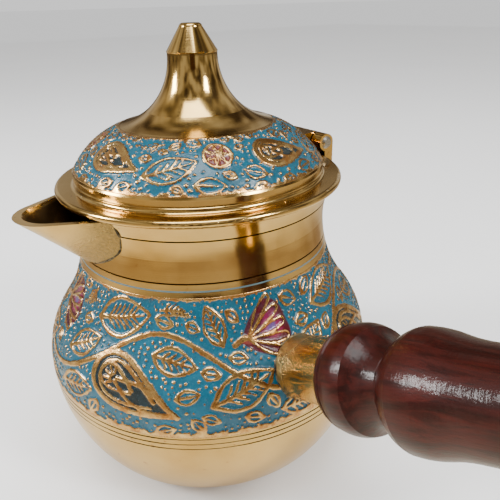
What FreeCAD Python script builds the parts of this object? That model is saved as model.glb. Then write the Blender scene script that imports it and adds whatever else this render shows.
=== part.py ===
import FreeCAD, Part
import math
import os
import Sketcher

# A lidded brass coffee pot: a spun belly and neck, a soldered pouring spout, a hinged domed lid
# with a turned finial, and a long turned wooden handle on a steel stud.
# Millimetres.  The origin is the centre of the base, +Z is up, the handle leaves along +X,
# the spout along -Y and the lid's hinge is on the +Y side.

SIZES = {
    # pot body
    "wall": 1.6,
    "belly_radius": 49.0,
    "belly_height": 34.5,
    "corner_arc": 17.0,
    "lower_arc": 50.0,
    "upper_arc": 25.0,
    "waist_radius": 35.3,
    "waist_rise": 40.0,
    "rim_arc": 23.5,
    "rim_rise": 9.7,
    # enamel fields: depth, and distances below the widest belly and below the waist
    "enamel_depth": 0.5,
    "belly_band_drop": 1.5,
    "belly_band_top_drop": 9.3,
    "neck_line_drop": 7.9,
    "neck_line_width": 0.4,
    # turned grooves
    "groove_width": 0.7,
    "groove_depth": 0.3,
    "neck_groove_rise": 5.4,
    "collar_groove_drop": 5.8,
    "foot_groove_drop": 2.2,
    "foot_groove_step": 1.65,
    # spout: three level sections, each with its drop below the rim, its reach out from the
    # waist, its nose radius and its half width at the root inside the neck
    "spout_wall": 1.3,
    "spout_root_depth": 5.3,
    "spout_rim_drop": 0.2,
    "spout_rim_reach": 16.7,
    "spout_rim_nose": 9.6,
    "spout_rim_half_width": 17.5,
    "spout_middle_drop": 7.2,
    "spout_middle_reach": 9.3,
    "spout_middle_nose": 8.0,
    "spout_middle_half_width": 17.2,
    "spout_keel_drop": 14.6,
    "spout_keel_reach": 1.7,
    "spout_keel_nose": 7.0,
    "spout_keel_half_width": 14.5,
    # lid: heights are above the flange's top
    "lid_gap": 0.3,
    "flange_overhang": 2.6,
    "flange_thickness": 2.0,
    "flange_ledge": 5.2,
    "flange_fillet": 0.9,
    "lid_wall": 1.4,
    "band_height": 3.2,
    "crease_height": 1.1,
    "crease_depth": 0.25,
    "dome_arc": 23.0,
    "cap_inset": 14.8,
    "cap_height": 14.4,
    "flare_arc": 18.2,
    "finial_seat_inset": 6.6,
    "finial_seat_height": 17.55,
    "finial_neck_inset": 6.77,
    "finial_neck_height": 31.6,
    "finial_shoulder_lip": 0.15,
    "finial_shoulder_height": 32.3,
    "finial_tip_radius": 3.1,
    "finial_tip_rounding": 0.9,
    "finial_height": 39.1,
    "tail_radius": 2.5,
    "tail_length": 8.0,
    "tail_clearance": 0.1,
    "nut_flats": 8.0,
    "nut_thickness": 3.6,
    "lid_washer_radius": 7.0,
    "washer_thickness": 1.0,
    "lid_collar_clearance": 0.85,
    "lid_collar_wall": 1.2,
    "lid_collar_depth": 4.0,
    # hinge
    "hinge_offset": 1.6,
    "hinge_rise": 2.9,
    "knuckle_radius": 2.7,
    "hinge_pin_radius": 1.25,
    "hinge_pin_clearance": 0.05,
    "hinge_width": 16.0,
    "knuckle_width": 7.2,
    "knuckle_side_gap": 0.3,
    "slot_clearance": 0.6,
    "rivet_head_width": 0.65,
    "rivet_head_height": 0.7,
    "bracket_foot_drop": 13.2,
    "bracket_foot_height": 7.5,
    "bracket_foot_thickness": 1.6,
    "bracket_shelf_drop": 1.7,
    "bracket_top_gap": 1.2,
    "bracket_flange_gap": 1.0,
    # handle: a brass boss on the belly, then a turned wooden grip on a steel stud
    "handle_tilt": 24.0,
    "boss_stand_off": 12.5,
    "handle_rise": 17.6,
    "boss_radius": 8.2,
    "boss_length": 21.6,
    "stud_radius": 2.5,
    "stud_engagement": 6.5,
    "stud_bore_clearance": 0.25,
    "wood_length": 108.4,
    "end_washer_radius": 6.5,
    "end_nut_radius": 5.0,
    "end_nut_height": 5.5,
}

# The grip's turned outline: a bead with a fine crease, a tight neck, a full shoulder, a long
# waist and a swelling before the end.  Each station has its distance along the grip (the last
# three are measured back from the far end), its radius, and the arc to the next station with
# its turn: +1 bulges outwards, -1 curves inwards and 0 is straight.
GRIP_STATIONS = [
    ("face", 0.0, 9.2, 4.2, 1),
    ("front", 3.3, 11.95, 0.0, 0),
    ("crease", 3.7, 11.65, 0.0, 0),
    ("bead", 4.1, 12.05, 9.0, 1),
    ("bead_back", 9.8, 11.6, 11.0, -1),
    ("neck_front", 16.0, 7.9, 2.2, -1),
    ("neck_back", 17.7, 7.6, 8.0, 1),
    ("shoulder_front", 19.5, 10.8, 7.5, 1),
    ("shoulder", 23.0, 12.4, 26.0, 1),
    ("shoulder_back", 29.4, 11.6, 34.0, -1),
    ("waist_front", 37.4, 10.3, 130.0, -1),
    ("waist", 55.4, 10.0, 160.0, 1),
]
GRIP_END_STATIONS = [
    ("swell", 18.0, 12.2, 16.0, 1),
    ("round_over", 1.5, 9.4, 2.5, 1),
    ("end", 0.0, 7.5, 0.0, 0),
]
for station, along, radius, arc, turn in GRIP_STATIONS + GRIP_END_STATIONS:
    SIZES["grip_%s_along" % station] = along
    SIZES["grip_%s_radius" % station] = radius
    if turn:
        SIZES["grip_%s_arc" % station] = arc

doc = FreeCAD.newDocument("CoffeePot")
sheet = doc.addObject("Spreadsheet::Sheet", "Sizes")
for row, (alias, number) in enumerate(SIZES.items(), start=1):
    sheet.set("A%d" % row, alias)
    sheet.set("B%d" % row, "%g" % number)
    sheet.setAlias("B%d" % row, alias)
doc.recompute()


class Size:
    """A number together with the sheet expression that gives it."""

    def __init__(self, text, value):
        self.text = text
        self.value = value

    def combined(self, other, sign, value, swapped=False):
        other_text = other.text if isinstance(other, Size) else "%.9g" % other
        first, second = (other_text, self.text) if swapped else (self.text, other_text)
        return Size("(%s %s %s)" % (first, sign, second), value)

    def __add__(self, other):
        return self.combined(other, "+", self.value + number_of(other))

    def __radd__(self, other):
        return self.combined(other, "+", number_of(other) + self.value, swapped=True)

    def __sub__(self, other):
        return self.combined(other, "-", self.value - number_of(other))

    def __rsub__(self, other):
        return self.combined(other, "-", number_of(other) - self.value, swapped=True)

    def __mul__(self, other):
        return self.combined(other, "*", self.value * number_of(other))

    def __rmul__(self, other):
        return self.combined(other, "*", number_of(other) * self.value, swapped=True)

    def __truediv__(self, other):
        return self.combined(other, "/", self.value / number_of(other))

    def __neg__(self):
        return 0 - self


def number_of(size):
    return size.value if isinstance(size, Size) else size


def root(size):
    return Size("sqrt(%s)" % size.text, math.sqrt(size.value))


def sized(alias):
    return Size("Sizes." + alias, float(sheet.get(alias)))


def bind(thing, prop, size):
    """Give a property its value and tie it to the sheet."""
    if isinstance(size, Size):
        thing.setExpression(prop, size.text)
    else:
        setattr(thing, prop, size)


# ---- sketches -------------------------------------------------------------------------------

def new_body(name):
    body = doc.addObject("PartDesign::Body", name)
    body.Label = name
    return body


def new_sketch(body, plane, name, level=None):
    sketch = body.newObject("Sketcher::SketchObject", name)
    origin_plane = [f for f in body.Origin.OriginFeatures if f.Role == plane][0]
    sketch.AttachmentSupport = [(origin_plane, "")]
    sketch.MapMode = "FlatFace"
    if level is not None:
        sketch.AttachmentOffset.Base.z = number_of(level)
        bind(sketch, "AttachmentOffset.Base.z", level)
    return sketch


def place_vertex(sketch, geometry, corner, point):
    """Tie one vertex to the sketch's origin by its two distances."""
    for kind, axis, size in (("DistanceX", -2, point[0]), ("DistanceY", -1, point[1])):
        if number_of(size) == 0:
            sketch.addConstraint(Sketcher.Constraint("PointOnObject", geometry, corner, axis))
            continue
        index = sketch.addConstraint(
            Sketcher.Constraint(kind, -1, 1, geometry, corner, number_of(size)))
        if isinstance(size, Size):
            sketch.setExpression("Constraints[%d]" % index, size.text)


def arc_between(start, end, radius, turn):
    """The minor arc from start to end; turn is +1 counter-clockwise and -1 clockwise."""
    middle = (start + end) * 0.5
    chord = end - start
    rise = math.sqrt(max(radius ** 2 - (chord.Length / 2) ** 2, 0.0))
    side = FreeCAD.Vector(-chord.y, chord.x, 0).normalize() * turn
    centre = middle + side * rise
    first, last = (start, end) if turn > 0 else (end, start)
    angles = [math.atan2(p.y - centre.y, p.x - centre.x) for p in (first, last)]
    circle = Part.Circle(centre, FreeCAD.Vector(0, 0, 1), radius)
    return Part.ArcOfCircle(circle, angles[0], angles[1])


def add_outline(sketch, points, arcs):
    """Draw a closed outline; arcs maps a side's number to its (radius, turn)."""
    flat = [FreeCAD.Vector(number_of(x), number_of(y), 0) for x, y in points]
    sides = []
    for i, start in enumerate(flat):
        end = flat[(i + 1) % len(flat)]
        if i in arcs:
            radius, turn = arcs[i]
            index = sketch.addGeometry(arc_between(start, end, number_of(radius), turn), False)
            sides.append((index, 1, 2) if turn > 0 else (index, 2, 1))
        else:
            index = sketch.addGeometry(Part.LineSegment(start, end), False)
            sides.append((index, 1, 2))
    for i, (index, start_corner, end_corner) in enumerate(sides):
        following, following_corner, _ = sides[(i + 1) % len(sides)]
        sketch.addConstraint(Sketcher.Constraint(
            "Coincident", index, end_corner, following, following_corner))
        place_vertex(sketch, index, start_corner, points[i])
        if i in arcs:
            radius = arcs[i][0]
            constraint = sketch.addConstraint(
                Sketcher.Constraint("Radius", index, number_of(radius)))
            if isinstance(radius, Size):
                sketch.setExpression("Constraints[%d]" % constraint, radius.text)


def add_circle(sketch, centre, radius):
    circle = Part.Circle(
        FreeCAD.Vector(number_of(centre[0]), number_of(centre[1]), 0),
        FreeCAD.Vector(0, 0, 1), number_of(radius))
    index = sketch.addGeometry(circle, False)
    place_vertex(sketch, index, 3, centre)
    constraint = sketch.addConstraint(Sketcher.Constraint("Radius", index, number_of(radius)))
    sketch.setExpression("Constraints[%d]" % constraint, radius.text)


# ---- features -------------------------------------------------------------------------------

def turned(body, kind, name, outlines):
    """Turn outlines drawn in the XZ plane about the body's Z axis (Revolution or Groove)."""
    sketch = new_sketch(body, "XZ_Plane", name + "_outline")
    for points, arcs in outlines:
        add_outline(sketch, points, arcs)
    feature = body.newObject("PartDesign::" + kind, name)
    feature.Profile = sketch
    feature.ReferenceAxis = (sketch, ["V_Axis"])
    feature.Angle = 360
    sketch.Visibility = False
    return feature


def turned_body(name, points, arcs):
    body = new_body(name)
    turned(body, "Revolution", name + "_turning", [(points, arcs)])
    return body


def cut(name, base, tool):
    result = doc.addObject("Part::Cut", name)
    result.Base = base
    result.Tool = tool
    result.Label = name
    return result


def box(name, corner, lengths):
    solid = doc.addObject("Part::Box", name)
    for prop, size in zip(("Length", "Width", "Height"), lengths):
        bind(solid, prop, size)
    for axis, size in zip("xyz", corner):
        if isinstance(size, Size):
            solid.setExpression("Placement.Base." + axis, size.text)
    return solid


# ---- the pot's side: five arcs that run into each other smoothly ---------------------------

WALL = sized("wall")
BELLY = (sized("belly_radius"), sized("belly_height"))
WAIST = (sized("waist_radius"), BELLY[1] + sized("waist_rise"))
CORNER_ARC = sized("corner_arc")
LOWER_ARC = sized("lower_arc")
UPPER_ARC = sized("upper_arc")
RIM_ARC = sized("rim_arc")
RIM_HEIGHT = WAIST[1] + sized("rim_rise")

BELLY_STEP = BELLY[0] - WAIST[0]
BELLY_RISE = sized("waist_rise")
NECK_ARC = (BELLY_STEP * BELLY_STEP + BELLY_RISE * BELLY_RISE) / (2 * BELLY_STEP) - UPPER_ARC


def corner_centre():
    reach = LOWER_ARC - CORNER_ARC
    drop = BELLY[1] - CORNER_ARC
    return (BELLY[0] - LOWER_ARC + root(reach * reach - drop * drop), CORNER_ARC)


def corner_end(depth):
    """Where the corner arc meets the lower belly arc, a given depth under the surface."""
    centre = corner_centre()
    share = (LOWER_ARC - depth) / (LOWER_ARC - CORNER_ARC)
    lower_centre = BELLY[0] - LOWER_ARC
    return (lower_centre + (centre[0] - lower_centre) * share,
            BELLY[1] + (centre[1] - BELLY[1]) * share)


def neck_start(depth):
    """Where the upper belly arc meets the neck arc, a given depth under the surface."""
    share = (UPPER_ARC - depth) / (UPPER_ARC + NECK_ARC)
    upper_centre = BELLY[0] - UPPER_ARC
    neck_centre = WAIST[0] + NECK_ARC
    return (upper_centre + (neck_centre - upper_centre) * share,
            BELLY[1] + BELLY_RISE * share)


def lower_point(depth, height):
    radius = LOWER_ARC - depth
    drop = BELLY[1] - height
    return (BELLY[0] - LOWER_ARC + root(radius * radius - drop * drop), height)


def neck_point(depth, height):
    radius = NECK_ARC + depth
    drop = WAIST[1] - height
    return (WAIST[0] + NECK_ARC - root(radius * radius - drop * drop), height)


def rim_point(depth, height):
    radius = RIM_ARC + depth
    rise = height - WAIST[1]
    return (WAIST[0] + RIM_ARC - root(radius * radius - rise * rise), height)


def side_points(depth):
    """The whole side from the base to the rim, a given depth under the surface."""
    return [(corner_centre()[0], 0 if depth is None else depth),
            corner_end(depth or 0),
            (BELLY[0] - (depth or 0), BELLY[1]),
            neck_start(depth or 0),
            (WAIST[0] - (depth or 0), WAIST[1]),
            rim_point(depth or 0, RIM_HEIGHT)]


def side_arcs(depth, first=0):
    """The side's arcs, drawn from the base upwards."""
    radii = [(CORNER_ARC - depth, 1), (LOWER_ARC - depth, 1), (UPPER_ARC - depth, 1),
             (NECK_ARC + depth, -1), (RIM_ARC + depth, -1)]
    return {first + i: arc for i, arc in enumerate(radii)}


def backwards(arcs, last):
    """The same arcs, drawn the other way round."""
    return {last - side: (radius, -turn) for side, (radius, turn) in arcs.items()}


def outer_form(name):
    """The pot's outside as one full solid, used to trim what is soldered on to it."""
    points = [(0, 0)] + side_points(None) + [(0, RIM_HEIGHT)]
    return turned_body(name, points, side_arcs(0, first=1))


def band_outline():
    """The belly enamel's section, from its outside face to its bottom."""
    depth = sized("enamel_depth")
    low = BELLY[1] - sized("belly_band_drop")
    high = WAIST[1] - sized("belly_band_top_drop")
    outside = [lower_point(0, low), BELLY, neck_start(0), neck_point(0, high)]
    inside = [neck_point(depth, high), neck_start(depth), (BELLY[0] - depth, BELLY[1]),
              lower_point(depth, low)]
    arcs = {0: (LOWER_ARC, 1), 1: (UPPER_ARC, 1), 2: (NECK_ARC, -1),
            4: (NECK_ARC + depth, 1), 5: (UPPER_ARC - depth, -1), 6: (LOWER_ARC - depth, -1)}
    return outside + inside, arcs


def neck_line_outline():
    """The thin enamel line's section on the neck."""
    depth = sized("enamel_depth")
    low = WAIST[1] - sized("neck_line_drop")
    high = low + sized("neck_line_width")
    points = [neck_point(0, low), neck_point(0, high),
              neck_point(depth, high), neck_point(depth, low)]
    return points, {0: (NECK_ARC, -1), 2: (NECK_ARC + depth, 1)}


def groove_outline(surface, height):
    """A turned V groove, from just outside the surface to its bottom."""
    half = sized("groove_width") / 2
    depth = sized("groove_depth")
    return [surface(-depth, height - half), surface(-depth, height + half),
            surface(depth, height)], {}


def pot_body():
    body = new_body("pot_body")
    outside = side_points(None)
    inside = side_points(WALL)[::-1]
    points = [(0, 0)] + outside + inside + [(0, WALL)]
    arcs = side_arcs(0, first=1)
    arcs.update(backwards(side_arcs(WALL), last=11))
    turned(body, "Revolution", "pot_shell", [(points, arcs)])
    turned(body, "Groove", "enamel_fields", [band_outline(), neck_line_outline()])
    foot = BELLY[1] - sized("foot_groove_drop")
    step = sized("foot_groove_step")
    grooves = [groove_outline(lower_point, foot - step * i) for i in range(3)]
    grooves.append(groove_outline(neck_point, WAIST[1] - sized("collar_groove_drop")))
    grooves.append(groove_outline(rim_point, WAIST[1] + sized("neck_groove_rise")))
    turned(body, "Groove", "turned_grooves", grooves)
    spout_loft(body, "SubtractiveLoft", "spout_opening", sized("spout_wall"), RIM_HEIGHT + 1)
    return body


def belly_enamel():
    points, arcs = band_outline()
    return turned_body("belly_enamel", points, arcs)


def neck_enamel_line():
    points, arcs = neck_line_outline()
    return turned_body("neck_enamel_line", points, arcs)


# ---- spout ----------------------------------------------------------------------------------

SPOUT_ROOT = WAIST[0] - sized("spout_root_depth")


# The keel slopes, so a level cut shows its wall thicker than it is.
KEEL_THICKENING = 1.3
NOSE_THICKENING = {"keel": 1.2, "middle": 1.5, "rim": 1.0}


def spout_section(body, name, level, reach, nose, half_width):
    """A level cut through the spout: straight sides that run tangent into a round nose."""
    centre = reach - nose
    length = centre - SPOUT_ROOT
    span = half_width * half_width + length * length
    tangent = root(span - nose * nose)
    side = nose * (nose * half_width + tangent * length) / span
    forward = centre + nose * (tangent * half_width - nose * length) / span
    points = [(half_width, -SPOUT_ROOT), (-half_width, -SPOUT_ROOT), (-side, -forward),
              (0, -reach), (side, -forward)]
    sketch = new_sketch(body, "XY_Plane", name, level)
    add_outline(sketch, points, {2: (nose, 1), 3: (nose, 1)})
    return sketch


def spout_loft(body, kind, name, wall, top):
    """Loft the spout's outside (wall 0) or its channel through three level sections."""
    sections = []
    for part in ("keel", "middle", "rim"):
        level = top if part == "rim" else RIM_HEIGHT - sized("spout_%s_drop" % part)
        if part == "keel":
            level = level + KEEL_THICKENING * wall
        reach = WAIST[0] + sized("spout_%s_reach" % part) - NOSE_THICKENING[part] * wall
        nose = sized("spout_%s_nose" % part) - wall
        half_width = sized("spout_%s_half_width" % part) - wall
        sections.append(spout_section(body, "%s_%s" % (name, part), level, reach, nose, half_width))
    loft = body.newObject("PartDesign::" + kind, name)
    loft.Profile = sections[0]
    loft.Sections = sections[1:]
    loft.Ruled = False
    loft.Closed = False
    return loft


def spout(pot_form):
    body = new_body("spout_shell")
    rim = RIM_HEIGHT - sized("spout_rim_drop")
    spout_loft(body, "AdditiveLoft", "spout_outside", 0, rim)
    spout_loft(body, "SubtractiveLoft", "spout_channel", sized("spout_wall"), rim + 1)
    return cut("spout", body, pot_form)


# ---- lid ------------------------------------------------------------------------------------

FLANGE_UNDER = RIM_HEIGHT + sized("lid_gap")
FLANGE_TOP = FLANGE_UNDER + sized("flange_thickness")
FLANGE_RADIUS = rim_point(0, RIM_HEIGHT)[0] + sized("flange_overhang")
BAND = (FLANGE_RADIUS - sized("flange_ledge"), FLANGE_TOP + sized("band_height"))
CAP = (BAND[0] - sized("cap_inset"), FLANGE_TOP + sized("cap_height"))
SEAT = (CAP[0] - sized("finial_seat_inset"), FLANGE_TOP + sized("finial_seat_height"))
DOME_ARC = sized("dome_arc")
LID_WALL = sized("lid_wall")


def chord_centre(start, end, radius, turn):
    """The centre of the arc of a given radius between two points."""
    across = end[0] - start[0]
    along = end[1] - start[1]
    chord = root(across * across + along * along)
    rise = root(radius * radius - chord * chord / 4)
    return ((start[0] + end[0]) / 2 - turn * rise * along / chord,
            (start[1] + end[1]) / 2 + turn * rise * across / chord)


DOME_CENTRE = chord_centre(BAND, CAP, DOME_ARC, 1)


def dome_point(depth, height):
    radius = DOME_ARC - depth
    rise = height - DOME_CENTRE[1]
    return (DOME_CENTRE[0] + root(radius * radius - rise * rise), height)


def lid_outside():
    """The lid's outside from the flange's lower edge to the finial's seat."""
    edge = sized("flange_thickness") / 2
    flange = FLANGE_RADIUS
    fillet = sized("flange_fillet")
    crease = FLANGE_TOP + sized("crease_height")
    crease_depth = sized("crease_depth")
    points = [(flange - edge, FLANGE_UNDER),
              (flange, FLANGE_UNDER + edge),
              (flange - edge, FLANGE_TOP),
              (BAND[0] + fillet, FLANGE_TOP),
              (BAND[0], FLANGE_TOP + fillet),
              (BAND[0], crease),
              (BAND[0] - crease_depth, crease + crease_depth),
              (BAND[0], crease + 2 * crease_depth),
              BAND, CAP, SEAT]
    arcs = {0: (edge, 1), 1: (edge, 1), 3: (fillet, -1), 8: (DOME_ARC, 1),
            9: (sized("flare_arc"), -1)}
    return points, arcs


def lid_dome():
    body = new_body("lid_dome")
    outside, arcs = lid_outside()
    hole = sized("tail_radius") + sized("tail_clearance")
    bore = BAND[0] - LID_WALL
    ceiling = SEAT[1] - LID_WALL
    inner_low = dome_point(LID_WALL, BAND[1] + LID_WALL / 2)
    inner_high = (CAP[0], CAP[1] - LID_WALL * 1.05)
    inside = [(hole, SEAT[1]), (hole, ceiling), (SEAT[0], ceiling), inner_high, inner_low,
              (bore, inner_low[1] - LID_WALL), (bore, FLANGE_UNDER)]
    arcs[14] = (DOME_ARC - LID_WALL, -1)
    turned(body, "Revolution", "lid_shell", [(outside + inside, arcs)])
    turned(body, "Groove", "lid_enamel_field", [lid_enamel_outline()])
    return body


def lid_enamel_outline():
    """The lid enamel field's section: a thin skin let into the dome."""
    depth = sized("enamel_depth")
    low = BAND[1] + depth
    high = CAP[1] - depth / 2
    points = [dome_point(0, low), dome_point(0, high), dome_point(depth, high),
              dome_point(depth, low)]
    return points, {0: (DOME_ARC, 1), 2: (DOME_ARC - depth, -1)}


def lid_enamel():
    points, arcs = lid_enamel_outline()
    return turned_body("lid_enamel", points, arcs)


def lid_form(name):
    """The lid's outside as one full solid, used to trim the hinge strap."""
    outside, arcs = lid_outside()
    points = outside + [(0, SEAT[1]), (0, FLANGE_UNDER)]
    return turned_body(name, points, arcs)


def lid_collar():
    bottom = FLANGE_UNDER - sized("lid_collar_depth")
    radius = rim_point(WALL, bottom)[0] - sized("lid_collar_clearance")
    bore = radius - sized("lid_collar_wall")
    points = [(bore, bottom), (radius, bottom), (radius, FLANGE_UNDER), (bore, FLANGE_UNDER)]
    return turned_body("lid_collar", points, {})


def finial():
    tail = sized("tail_radius")
    tip = sized("finial_tip_radius")
    rounding = sized("finial_tip_rounding")
    height = FLANGE_TOP + sized("finial_height")
    shoulder = FLANGE_TOP + sized("finial_shoulder_height")
    neck = FLANGE_TOP + sized("finial_neck_height")
    neck_radius = SEAT[0] - sized("finial_neck_inset")
    lip = sized("finial_shoulder_lip")
    end = SEAT[1] - sized("tail_length")
    points = [(0, end), (tail, end), (tail, SEAT[1]), SEAT,
              (neck_radius, neck),
              (neck_radius, shoulder - 2 * lip),
              (neck_radius + lip, shoulder),
              (tip, height - rounding),
              (tip - rounding, height),
              (0, height)]
    return turned_body("finial", points, {3: (sized("flare_arc"), -1), 7: (rounding * 1.4, 1)})


def ring(name, inner, outer, low, high):
    return turned_body(name, [(inner, low), (outer, low), (outer, high), (inner, high)], {})


def finial_washer():
    top = SEAT[1] - LID_WALL
    return ring("finial_washer", sized("tail_radius"), sized("lid_washer_radius"),
                top - sized("washer_thickness"), top)


def finial_nut():
    body = new_body("finial_nut")
    top = SEAT[1] - LID_WALL - sized("washer_thickness")
    thickness = sized("nut_thickness")
    corner = sized("nut_flats") / math.sqrt(3)
    sketch = new_sketch(body, "XY_Plane", "finial_nut_outline", top - thickness)
    turns = [math.radians(60 * i) for i in range(6)]
    add_outline(sketch, [(corner * math.cos(a), corner * round(math.sin(a), 9)) for a in turns], {})
    add_circle(sketch, (0, 0), sized("tail_radius"))
    pad = body.newObject("PartDesign::Pad", "finial_nut_pad")
    pad.Profile = sketch
    bind(pad, "Length", thickness)
    return body


# ---- hinge ----------------------------------------------------------------------------------

HINGE = (FLANGE_RADIUS + sized("hinge_offset"), FLANGE_TOP + sized("hinge_rise"))
KNUCKLE = sized("knuckle_radius")
PIN = sized("hinge_pin_radius")


def across_pad(name, width, points, arcs, hole):
    """An outline drawn in the YZ plane, padded evenly to both sides, with a pin hole."""
    body = new_body(name)
    sketch = new_sketch(body, "YZ_Plane", name + "_outline", width / -2)
    add_outline(sketch, points, arcs)
    add_circle(sketch, HINGE, hole)
    pad = body.newObject("PartDesign::Pad", name + "_pad")
    pad.Profile = sketch
    bind(pad, "Length", width)
    return body


def hinge_bracket(pot_form):
    """Two side knuckles on arms that pass outside the flange, on a foot soldered to the neck."""
    inner_arm = FLANGE_RADIUS + sized("bracket_flange_gap")
    outer_arm = HINGE[0] + KNUCKLE
    shelf_top = FLANGE_UNDER - sized("bracket_top_gap") / 2
    offset = HINGE[0] - inner_arm
    knuckle_low = HINGE[1] - root(KNUCKLE * KNUCKLE - offset * offset)
    foot = WAIST[0] + sized("bracket_foot_thickness")
    foot_low = RIM_HEIGHT - sized("bracket_foot_drop")
    foot_top = RIM_HEIGHT - sized("bracket_top_gap")
    inside = SPOUT_ROOT
    points = [(inside, foot_low),
              (foot, foot_low),
              (foot, foot_low + sized("bracket_foot_height")),
              (outer_arm, RIM_HEIGHT - sized("bracket_shelf_drop")),
              (outer_arm, HINGE[1]),
              (HINGE[0], HINGE[1] + KNUCKLE),
              (HINGE[0] - KNUCKLE, HINGE[1]),
              (inner_arm, knuckle_low),
              (inner_arm, shelf_top),
              (inner_arm - 2 * sized("bracket_top_gap"), foot_top),
              (inside, foot_top)]
    arcs = {4: (KNUCKLE, 1), 5: (KNUCKLE, 1), 6: (KNUCKLE, 1)}
    width = sized("hinge_width")
    body = across_pad("hinge_bracket_blank", width, points, arcs, PIN)
    slot = sized("knuckle_width") + 2 * sized("knuckle_side_gap")
    reach = KNUCKLE + sized("slot_clearance")
    opening = box("hinge_slot", (slot / -2, HINGE[0] - reach, HINGE[1] - reach),
                  (slot, 2 * reach, 2 * reach))
    return cut("hinge_bracket", cut("hinge_bracket_slotted", body, opening), pot_form)


def hinge_lug(lid_solid):
    """The lid's middle knuckle on a strap soldered to the dome."""
    inside = CAP[0]
    points = [(inside, HINGE[1]),
              (HINGE[0] - KNUCKLE, HINGE[1]),
              (HINGE[0], HINGE[1] - KNUCKLE),
              (HINGE[0] + KNUCKLE, HINGE[1]),
              (HINGE[0], HINGE[1] + KNUCKLE),
              (inside, HINGE[1] + KNUCKLE)]
    arcs = {1: (KNUCKLE, 1), 2: (KNUCKLE, 1), 3: (KNUCKLE, 1)}
    hole = PIN + sized("hinge_pin_clearance")
    body = across_pad("hinge_lug_blank", sized("knuckle_width"), points, arcs, hole)
    return cut("hinge_lug", body, lid_solid)


def hinge_pin():
    """A riveted pin: turned about Z, then laid along X on the hinge's axis."""
    half = sized("hinge_width") / 2
    head = PIN + sized("rivet_head_width")
    end = half + sized("rivet_head_height")
    points = [(0, -end), (PIN, -end), (head, -half), (PIN, -half), (PIN, half), (head, half),
              (PIN, end), (0, end)]
    body = turned_body("hinge_pin", points, {})
    turn = FreeCAD.Rotation(FreeCAD.Vector(0, 1, 0), 90)
    body.Placement = FreeCAD.Placement(
        FreeCAD.Vector(0, HINGE[0].value, HINGE[1].value), turn)
    return body


# ---- handle: every piece is turned about its own Z, then laid along the handle's axis -------

def handle_placement():
    tilt = sized("handle_tilt").value
    reach = BELLY[0] + sized("boss_stand_off")
    height = BELLY[1] + sized("handle_rise")
    face = FreeCAD.Vector(reach.value, 0, height.value)
    return FreeCAD.Placement(face, FreeCAD.Rotation(FreeCAD.Vector(0, 1, 0), 90 - tilt))


def laid_along_handle(body):
    body.Placement = handle_placement()
    return body


STUD = sized("stud_radius")
WOOD_LENGTH = sized("wood_length")


def handle_boss(pot_form):
    """The brass socket, brazed to the belly, with a blind hole for the stud."""
    radius = sized("boss_radius")
    length = sized("boss_length")
    hole = sized("stud_engagement")
    points = [(0, -length), (radius, -length), (radius, 0), (STUD, 0), (STUD, -hole), (0, -hole)]
    blank = laid_along_handle(turned_body("handle_boss_blank", points, {}))
    return cut("handle_boss", blank, pot_form)


def handle_stud():
    end = WOOD_LENGTH + sized("washer_thickness") + sized("end_nut_height") / 2
    start = -sized("stud_engagement")
    points = [(0, start), (STUD, start), (STUD, end), (0, end)]
    return laid_along_handle(turned_body("handle_stud", points, {}))


def grip_point(station, from_end):
    along = sized("grip_%s_along" % station)
    return (sized("grip_%s_radius" % station), WOOD_LENGTH - along if from_end else along)


def handle_grip():
    """The turned wooden grip, bored through for the stud."""
    bore = STUD + sized("stud_bore_clearance")
    points = [(bore, 0)]
    arcs = {}
    for stations, from_end in ((GRIP_STATIONS, False), (GRIP_END_STATIONS, True)):
        for station, _, _, _, turn in stations:
            if turn:
                arcs[len(points)] = (sized("grip_%s_arc" % station), turn)
            points.append(grip_point(station, from_end))
    points.append((bore, WOOD_LENGTH))
    return laid_along_handle(turned_body("handle_grip", points, arcs))


def handle_end_washer():
    low = WOOD_LENGTH
    body = ring("handle_end_washer", STUD, sized("end_washer_radius"),
                low, low + sized("washer_thickness"))
    return laid_along_handle(body)


def handle_end_nut():
    """A domed nut with a blind hole that takes the stud's end."""
    low = WOOD_LENGTH + sized("washer_thickness")
    height = sized("end_nut_height")
    radius = sized("end_nut_radius")
    side = height / 3
    rise = height - side
    dome = (radius * radius + rise * rise) / (2 * rise)
    depth = height / 2
    points = [(STUD, low), (radius, low), (radius, low + side), (0, low + height),
              (0, low + depth), (STUD, low + depth)]
    return laid_along_handle(turned_body("handle_end_nut", points, {2: (dome, 1)}))


# ---- build, check and write -----------------------------------------------------------------

pot_solid = outer_form("pot_outer_form")
lid_solid = lid_form("lid_outer_form")
nodes = [
    pot_body(), belly_enamel(), neck_enamel_line(), spout(pot_solid),
    handle_boss(pot_solid), handle_stud(), handle_grip(), handle_end_washer(), handle_end_nut(),
    hinge_bracket(pot_solid), hinge_pin(),
    lid_dome(), lid_enamel(), lid_collar(), finial(), finial_washer(), finial_nut(),
    hinge_lug(lid_solid),
]
doc.recompute()

for item in doc.Objects:
    if "Invalid" in item.State or "Error" in item.State:
        raise RuntimeError("%s did not compute: %s" % (item.Label, item.State))
for node in nodes:
    if node.Shape.isNull() or not node.Shape.isValid() or not node.Shape.Solids:
        raise RuntimeError("%s has no valid solid" % node.Label)

os.makedirs("parts", exist_ok=True)
for node in nodes:
    node.Shape.exportStep("parts/%s.step" % node.Label)
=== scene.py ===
"""Looks of a lidded brass coffee pot with enamelled relief and a turned wooden handle.

Everything is in metres in the row's own frame: +Z up, the handle along +X, the spout along -Y
and the lid's hinge on the +Y side.  Lengths written as millimetres are multiplied by MM.
"""
import math

import bmesh
import bpy
import numpy as np
from mathutils import Matrix, Vector


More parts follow.
